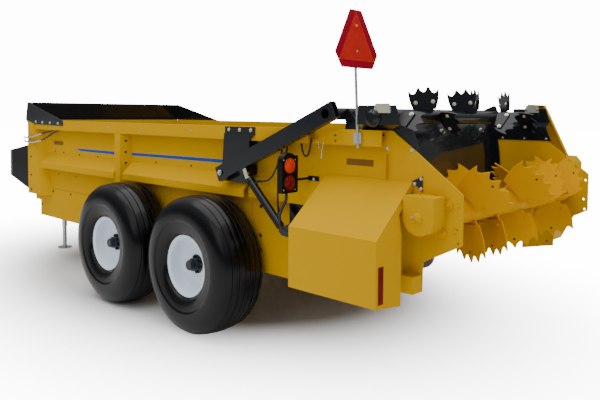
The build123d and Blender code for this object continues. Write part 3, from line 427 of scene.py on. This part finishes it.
# stripes and blank plates on the side sheets
stripeSettings = {
    "y": 0.9306, "thick": 0.0014,
    "stripes": [[(4.394, 1.246), (4.307, 1.223), (3.632, 1.222), (3.632, 1.247)],
                [(3.358, 1.230), (3.358, 1.252), (2.031, 1.264), (2.031, 1.238)]],
    "plates": [[(0.612, 1.300), (0.824, 1.300), (0.824, 1.340), (0.612, 1.340)],
               [(4.671, 1.267), (4.881, 1.267), (4.881, 1.308), (4.671, 1.308)]],
}
for name, outlines, material in (("side_stripes", "stripes", blueStripe), ("blank_plates", "plates", brownTag)):
    stripeShape = bmesh.new()
    for outline in stripeSettings[outlines]:
        for _, side in sides:
            sidePrism(stripeShape, outline, side * stripeSettings["y"], side * stripeSettings["thick"])
    keepPiece(stripeShape, name, "box", material)

# reflector: a strip on the chain shield's rear face
reflectorSettings = {"place": (rear + 0.2785, 1.294, 0.698), "size": (0.003, 0.044, 0.205, 1), "edge": 0.001}
reflectorShape = bmesh.new()
bmesh.ops.create_cube(reflectorShape, size=1.0, matrix=Matrix.Translation(reflectorSettings["place"])
                      @ Matrix.Diagonal(reflectorSettings["size"]))
bmesh.ops.bevel(reflectorShape, geom=reflectorShape.edges, offset=reflectorSettings["edge"], affect="EDGES",
                segments=2, profile=0.5, material=-1)
keepPiece(reflectorShape, "rear_reflector", "box", reflectorRed)
print("emblem, stripes and reflector done")


# beaters: each row is its angle round the shaft and a list of (y, pitch) of its paddles
upperRows = [(97, [(0.478, 50), (-0.008, 50), (-0.173, -50), (-0.649, -50)]),
             (-15, [(0.830, -50), (0.345, 50), (-0.418, -50), (-0.789, 50)]),
             (217, [(0.747, 50), (0.142, 50), (-0.413, 50)])]
lowerRows = [(37, [(0.626, 62), (0.027, 62), (-0.277, -60), (-0.594, -60)]),
             (-83, [(0.526, 62), (0.243, 62), (-0.058, -60), (-0.674, -60)]),
             (153, [(0.806, 62), (0.370, 62), (-0.343, -43), (-0.806, 62)])]
beaterSettings = {
    "upper": {"axle": (rear + 0.540, 1.600), "rows": upperRows, "boltRadius": 0.100, "boltsApart": 0.056},
    "lower": {"axle": (rear + 0.200, 1.049), "rows": lowerRows, "boltRadius": 0.128, "boltsApart": 0.086},
}
beaterFinishes = {"upper": (zincPlate, "zinc_steel", blackPaint, "black_paint"),
                  "lower": (beaterYellow, "yellow_paint", beaterYellow, "yellow_paint")}
paddleSettings = {    # sag lowers the outer tips, deep is the depth of the valleys between them
    "upper": {"rootWide": 0.142, "tipWide": 0.197, "root": 0.049, "reach": 0.203,
              "sag": 0.023, "deep": 0.034, "teeth": 4},
    "lower": {"rootWide": 0.236, "tipWide": 0.304, "root": 0.097, "reach": 0.331,
              "sag": 0.041, "deep": 0.040, "teeth": 5},
}
toothSettings = {"steps": 9, "tipFrom": 0.06, "tipTo": 0.94, "roundness": 0.85, "flankSteps": 6, "flankBulge": 0.06}
plateSettings = {"thick": 0.008, "nutBehind": 0.010, "boltScale": 0.95}
holeSettings = {"radius": 0.007, "out": 0.269, "thick": 0.0004, "proud": 0.0003, "steps": 20}


# toothed outline as (across, radius) pairs: sharp tips, round valleys, bulging flanks
def paddleOutline(values):
    count, half, halfRoot = values["teeth"], values["tipWide"] / 2, values["rootWide"] / 2
    tipFrom, tipTo = toothSettings["tipFrom"], toothSettings["tipTo"]
    tips = []
    for n in range(count):
        t = 2 * n / (count - 1) - 1
        tips.append((half * t, values["reach"] - values["sag"] * t * t))
    outline = []
    for first, last in zip(tips, tips[1:]):
        for n in range(toothSettings["steps"]):
            share = n / toothSettings["steps"]
            valley = pi * max(0.0, (share - tipFrom) / (tipTo - tipFrom)) if share < tipTo else 0.0
            drop = values["deep"] * sin(valley) ** toothSettings["roundness"]
            outline.append((first[0] + (last[0] - first[0]) * share, first[1] + (last[1] - first[1]) * share - drop))
    outline.append(tips[-1])
    flank = []
    for n in range(1, toothSettings["flankSteps"]):
        share = n / toothSettings["flankSteps"]
        bulge = toothSettings["flankBulge"] * values["rootWide"] * sin(pi * share)
        flank.append((half + (halfRoot - half) * share + bulge, tips[-1][1] + (values["root"] - tips[-1][1]) * share))
    foot = [(halfRoot, values["root"]), (-halfRoot, values["root"])]
    return outline + flank + foot + [(-w, r) for w, r in reversed(flank)]


for beater, (boltMaterial, boltSlot, plateMaterial, plateSlot) in beaterFinishes.items():
    values = beaterSettings[beater]
    boltSpots, holeSpots = [], []
    plates = bmesh.new()
    plateOutline = paddleOutline(paddleSettings[beater])
    for angle, places in values["rows"]:
        for y, pitch in places:
            a, q = radians(angle), radians(pitch)
            acrossPaddle = Vector((sin(q) * sin(a), cos(q), sin(q) * cos(a)))
            radial = Vector((-cos(a), 0, sin(a)))
            normal = acrossPaddle.cross(radial)
            origin = Vector((values["axle"][0], y, values["axle"][1]))
            corners = [origin + acrossPaddle * w + radial * far for w, far in plateOutline]
            prism(plates, corners, normal * -plateSettings["thick"])
            for hand in (-1, 1):
                spot = origin + radial * values["boltRadius"] + acrossPaddle * hand * values["boltsApart"]
                boltSpots += [(spot - normal * plateSettings["thick"], -normal),
                              (spot + normal * plateSettings["nutBehind"], normal)]
            centre = origin + radial * holeSettings["out"]
            holeSpots += [(centre + normal * holeSettings["proud"], normal),
                          (centre - normal * (plateSettings["thick"] + holeSettings["proud"]), normal)]
    # the holes are not cut: a black disc on each face is painted shade for the dark inside of each hole
    if beater == "lower":    # only the lower paddles have a hole, shown by a dark disc on each face
        holes = bmesh.new()
        for spot, outward in holeSpots:
            bmesh.ops.create_cone(holes, segments=holeSettings["steps"], radius1=holeSettings["radius"],
                                  radius2=holeSettings["radius"], depth=holeSettings["thick"], cap_ends=True,
                                  matrix=turnTo(outward, spot))
        keepPiece(holes, "lower_paddle_hole_shade_discs", "lower_beater", deepBlack)
    keepPiece(plates, f"{beater}_toothed_paddles", f"{beater}_beater", plateMaterial,
              (f"{beater}_beater_paddles",))
    boltSet(f"{beater}_beater_bolts", boltMaterial, boltSpots, plateSettings["boltScale"], f"{beater}_beater")
print("beaters done")


# upper bearings: the left zinc cover is outside its panel, the right one inside; black housings behind them
coverSettings = {
    "thick": 0.0075, "leftFace": 1.0355, "rightFace": -1.0295, "leftBolts": 1.043, "rightBolts": -1.022,
    "left": [(0.413, 1.627), (0.530, 1.627), (0.530, 1.649), (0.521, 1.682), (0.424, 1.682), (0.413, 1.649)],
    "right": [(0.438, 1.640), (0.552, 1.640), (0.552, 1.668), (0.543, 1.698), (0.447, 1.698), (0.438, 1.668)],
}
coverShape = bmesh.new()
for sideName, _ in sides:
    sidePrism(coverShape, coverSettings[sideName], coverSettings[f"{sideName}Face"], coverSettings["thick"])
keepPiece(coverShape, "bearing_covers", "box", zincPlate, ("upper_bearings",))

housingSettings = {"out": 1.0352, "steps": 40}
housingOutline = [(0.0, 0.0205), (0.0, 0.056), (0.006, 0.056), (0.009, 0.046), (0.018, 0.042), (0.022, 0.036),
                  (0.024, 0.034), (0.026, 0.034), (0.030, 0.030), (0.030, 0.0205), (0.0, 0.0205)]
housingShape = bmesh.new()
upperX, upperZ = beaterSettings["upper"]["axle"]
for _, side in sides:
    spinRing(housingShape, housingOutline, (0, side, 0), (upperX, side * housingSettings["out"], upperZ),
             housingSettings["steps"])
keepPiece(housingShape, "upper_bearing_housings", "box", blackPaint, smooth=35)
boltSet("cover_bolts", polishedZinc,
        facingLeft([(0.424, 1.650), (0.518, 1.650)], coverSettings["leftBolts"])
        + facingLeft([(0.450, 1.667), (0.540, 1.667)], coverSettings["rightBolts"]), 0.8)


# small fasteners of the rear end
boltSet("plate_bolts", polishedZinc,
        bothSides([(0.506, 1.418), (0.332, 1.414)], faceOut["plate"])
        + facingLeft([(0.236, 1.049)], faceOut["bearing"]) + facingLeft([(1.099, 1.187)], faceOut["panel"])
        + facingLeft([(0.504, 1.433), (0.326, 1.435), (0.690, 1.433)], faceOut["plateInside"]), 0.75)
boltSet("bracket_bolts", polishedZinc,
        facingLeft([(0.306, 1.222), (0.263, 1.253), (0.263, 1.196)], faceOut["gateBracket"]), 0.7)
boltSet("channel_bolts", blackPaint,
        facingLeft([(0.534, 1.494)], faceOut["plate"])
        + facingLeft([(0.872, 1.485), (0.871, 1.451)], faceOut["channel"]), 0.45)
boltSet("guard_bolts", yellowPaint,
        facingLeft([(0.082, 1.119), (0.120, 0.957)], faceOut["guard"])
        + facingLeft([(0.026, 1.121), (0.042, 0.978), (0.26, 1.05)], faceOut["plate"]))
lampCorners = [(1.093, 1.322), (1.093, 1.130), (1.197, 1.322), (1.197, 1.130)]
boltSet("lamp_screws", polishedZinc,
        [((rear + 1.1195, side * y, z), (-1, 0, 0)) for _, side in sides for y, z in lampCorners], 0.4)
boltSet("pivot_bolts", polishedZinc, bothSides([(1.895, 1.183)], faceOut["pivot"]), 1.4)
wire("hairpin_clips", polishedZinc,
     [[(1.020, 0.989, 1.440), (1.004, 0.991, 1.428), (1.010, 0.991, 1.398)],
      [(0.968, 0.989, 1.440), (0.976, 0.991, 1.420), (0.984, 0.992, 1.355), (0.990, 0.992, 1.334),
       (0.978, 0.992, 1.334), (0.986, 0.991, 1.362)]], 0.0028)
wire("rail_end_hook", blackPaint,
     [[(1.186, 0.968, 1.460), (1.184, 0.970, 1.392), (1.150, 0.972, 1.330), (1.108, 0.970, 1.352),
       (1.094, 0.968, 1.460)]], 0.006)
wire("steel_line_ends", polishedZinc,
     [[(4.950, 1.0342, 1.386), (5.090, 1.036, 1.358), (5.250, 1.036, 1.334), (5.392, 1.035, 1.330)],
      [(4.950, 1.0379, 1.3145), (5.080, 1.037, 1.292), (5.240, 1.036, 1.282), (5.392, 1.035, 1.289)]], 0.0100)
print("rear end fitted")


# flanges on the ends of the gate's curved sheet, angles in degrees below the pivot's level
flangeSettings = {"pivot": (1.895, 1.183), "inner": 1.112, "wide": 0.078, "first": -24.0, "last": 10.0, "steps": 24,
                  "y": 0.908, "thick": 0.005, "taper": 3.2, "topWide": 0.65, "footWide": 0.15}
pivotX, pivotZ = flangeSettings["pivot"]
flangeOutline = []
for edge, order in ((0.0, 1), (1.0, -1)):    # down the inner edge, back up the outer one
    for n in range(flangeSettings["steps"] + 1)[::order]:
        share = n / flangeSettings["steps"]
        bend = radians(flangeSettings["first"] + (flangeSettings["last"] - flangeSettings["first"]) * share)
        narrowed = min(1.0, flangeSettings["taper"] * share + flangeSettings["topWide"],
                       flangeSettings["taper"] * (1 - share) + flangeSettings["footWide"])
        far = flangeSettings["inner"] + edge * flangeSettings["wide"] * narrowed
        flangeOutline.append((pivotX - far * cos(bend), pivotZ - far * sin(bend)))
flangeShape = bmesh.new()
for _, side in sides:
    sidePrism(flangeShape, flangeOutline, side * flangeSettings["y"], side * flangeSettings["thick"])
keepPiece(flangeShape, "gate_end_flanges", "gate", blackPaint)

# keeper plates on the rod pins
keeperSettings = {"y": 1.0805, "thick": 0.006,
                  "corners": [(1.584, 1.172), (1.612, 1.160), (1.642, 1.222), (1.614, 1.236)]}
keeperShape = bmesh.new()
for _, side in sides:
    sidePrism(keeperShape, keeperSettings["corners"], side * keeperSettings["y"], side * keeperSettings["thick"])
keepPiece(keeperShape, "pin_keepers", "gate", zincPlate)

# flange on the front shield: part of the black shield, painted pale bluish grey as a painted highlight of its lit face
edgeSettings = {"y": 0.9305, "uprightThick": 0.003, "slopeThick": 0.0024,
                "upright": [(5.985, 1.168), (6.032, 1.160), (6.032, 0.860), (5.985, 0.849)],
                "slope": [(5.985, 0.849), (6.032, 0.860), (5.340, 0.690), (5.340, 0.702)]}
edgeShape = bmesh.new()
for strip in ("upright", "slope"):
    sidePrism(edgeShape, edgeSettings[strip], edgeSettings["y"], edgeSettings[f"{strip}Thick"])
keepPiece(edgeShape, "front_shield_edge", "box", paintedHighlightEdge)

# bolts along the sides
boltSet("side_bolts", blackPaint,
        bothSides([(4.86, 1.20), (4.66, 1.19), (4.32, 1.185), (3.95, 1.185), (2.95, 1.19), (2.45, 1.19),
                   (4.78, 0.955), (4.40, 0.955), (1.85, 0.64)], faceOut["side"]), 0.6)
boltSet("rail_screws", polishedZinc,
        bothSides([(4.20, 1.475), (3.62, 1.475), (3.05, 1.475), (2.35, 1.475), (1.30, 1.475)],
                  faceOut["railSide"]), 0.6)
stakeHeights = (1.36, 1.26, 1.16)
boltSet("stake_bolts", blackPaint,
        [((rear + 3.372, side * 0.974, z), (-0.82, side * 0.57, 0)) for _, side in sides for z in stakeHeights], 0.75)
print("gate and sides fitted")


# lamp lenses: stepped domes in a black rim
lensSettings = {"x": rear + 1.120, "y": 1.145, "radius": 0.050, "steps": 8, "dome": 0.014, "base": 0.003,
                "stepDown": 0.0022, "stepIn": 0.0006, "axisGap": 0.0001, "turns": 40}
lensRim = [(0.0, 0.0505), (0.006, 0.0510), (0.008, 0.0535), (0.006, 0.0565), (0.0, 0.0570), (0.0, 0.0505)]
lensOutline = [(0.0, 0.0)]
for n in range(lensSettings["steps"]):
    inner = lensSettings["radius"] * n / lensSettings["steps"]
    outer = lensSettings["radius"] * (n + 1) / lensSettings["steps"]
    crest = lensSettings["dome"] * (1 - (inner / lensSettings["radius"]) ** 2) + lensSettings["base"]
    lensOutline += [(crest, inner + lensSettings["axisGap"] * (n == 0)),
                    (crest - lensSettings["stepDown"], outer - lensSettings["stepIn"])]
lensOutline += [(0.0, lensSettings["radius"])]
for lensName, height, material, slot in (("amber", 1.286, amberGlass, "amber_lens"),
                                         ("red", 1.175, redGlass, "red_lens")):
    lensShape, lensRimShape = bmesh.new(), bmesh.new()
    for _, side in sides:
        centre = (lensSettings["x"], side * lensSettings["y"], height)
        spinRing(lensShape, lensOutline, (-1, 0, 0), centre, lensSettings["turns"])
        spinRing(lensRimShape, lensRim, (-1, 0, 0), centre, lensSettings["turns"])
    keepPiece(lensShape, f"{lensName}_lens_domes", "box", material, (f"{lensName}_lenses",), smooth=20)
    keepPiece(lensRimShape, f"{lensName}_lens_rims", "box", lampPlastic, smooth=40)
print("lenses done")


# studio floor: pale, lit by the lamps by the machine, with a painted soft shadow: its glow to the camera is held off
# in an oval round the machine and rises to white farther out
studioSettings = {"floorSize": 60, "floorColour": (0.9, 0.9, 0.9, 1), "floorRoughness": 0.6,
                  "paintedShadowLong": 5.2, "paintedShadowWide": 3.6, "paintedShadowFrom": 0.35, "backdrop": 14.0,
                  "skyFrom": 0.15, "skyTo": 0.95, "skyLow": 0.16, "skyHigh": 1.25}
floorMesh = bmesh.new()
bmesh.ops.create_grid(floorMesh, x_segments=1, y_segments=1, size=studioSettings["floorSize"])
floorData = bpy.data.meshes.new("studioFloor")
floorMesh.to_mesh(floorData)
floorMesh.free()
floorPaint = bpy.data.materials.new("paleFloor")
floorPaint.use_nodes = True
floorTree = floorPaint.node_tree
floorLink = floorTree.links.new
floorShader = floorTree.nodes["Principled BSDF"]
for socket, value in (("Base Color", studioSettings["floorColour"]), ("Roughness", studioSettings["floorRoughness"]),
                      ("Emission Color", (1, 1, 1, 1))):
    floorShader.inputs[socket].default_value = value
floorRays = addNode(floorTree, "ShaderNodeLightPath")
floorPlace = addNode(floorTree, "ShaderNodeTexCoord")
floorScale = addNode(floorTree, "ShaderNodeMapping",
                     {"Scale": (1 / studioSettings["paintedShadowLong"], 1 / studioSettings["paintedShadowWide"], 1)})
floorReach = addNode(floorTree, "ShaderNodeVectorMath", operation="LENGTH")
# painted shadow: no glow inside the oval round the machine, rising smoothly to the white backdrop outside it
floorPaintedShadow = addNode(floorTree, "ShaderNodeMapRange",
                    {"From Min": studioSettings["paintedShadowFrom"], "From Max": 1.0, "To Max": studioSettings["backdrop"]},
                    interpolation_type="SMOOTHSTEP")
floorGlow = addNode(floorTree, "ShaderNodeMath", operation="MULTIPLY")
floorLink(floorPlace.outputs["Object"], floorScale.inputs["Vector"])
floorLink(floorScale.outputs["Vector"], floorReach.inputs[0])
floorLink(floorReach.outputs["Value"], floorPaintedShadow.inputs["Value"])
floorLink(floorPaintedShadow.outputs["Result"], floorGlow.inputs[0])
floorLink(floorRays.outputs["Is Camera Ray"], floorGlow.inputs[1])
floorLink(floorGlow.outputs["Value"], floorShader.inputs["Emission Strength"])
floorData.materials.append(floorPaint)
floorObject = bpy.data.objects.new("studioFloor", floorData)
scene.collection.objects.link(floorObject)

# sky: dim low down and bright overhead for the light, plain white to the camera
studioSky = bpy.data.worlds.new("studioSky")
scene.world = studioSky
studioSky.use_nodes = True
skyTree = studioSky.node_tree
skyLink = skyTree.links.new
skyShader = skyTree.nodes["Background"]
skyShader.inputs["Color"].default_value = (1, 1, 1, 1)
skyRays = addNode(skyTree, "ShaderNodeLightPath")
skyLevel = addNode(skyTree, "ShaderNodeMapRange", {"To Max": studioSettings["backdrop"]})
skyPlace = addNode(skyTree, "ShaderNodeTexCoord")
skyHeight = addNode(skyTree, "ShaderNodeSeparateXYZ")
skyLift = addNode(skyTree, "ShaderNodeMapRange",
                  {"From Min": studioSettings["skyFrom"], "From Max": studioSettings["skyTo"],
                   "To Min": studioSettings["skyLow"], "To Max": studioSettings["skyHigh"]})
skyLink(skyPlace.outputs["Generated"], skyHeight.inputs["Vector"])
skyLink(skyHeight.outputs["Z"], skyLift.inputs["Value"])
skyLink(skyLift.outputs["Result"], skyLevel.inputs["To Min"])
skyLink(skyRays.outputs["Is Camera Ray"], skyLevel.inputs["Value"])
skyLink(skyLevel.outputs["Result"], skyShader.inputs["Strength"])

# soft lights: name, place, what it looks at, size, power
lampRig = [
    ("overheadSoft", (-0.6, 1.2, 7.5), (-0.6, 0, 0.8), 8.0, 440),
    ("leftSoft", (-3.5, 8.0, 5.0), (-1.0, 0.8, 0.9), 5.0, 80),
    ("rearSoft", (-9.0, -0.5, 4.5), (-2.8, 0, 1.0), 4.0, 30),
]
for name, place, aim, size, power in lampRig:
    lightData = bpy.data.lights.new(name, "AREA")
    lightData.size = size
    lightData.energy = power
    lightObject = bpy.data.objects.new(name, lightData)
    scene.collection.objects.link(lightObject)
    lightObject.matrix_world = turnTo(Vector(place) - Vector(aim), place)
print("studio lit")
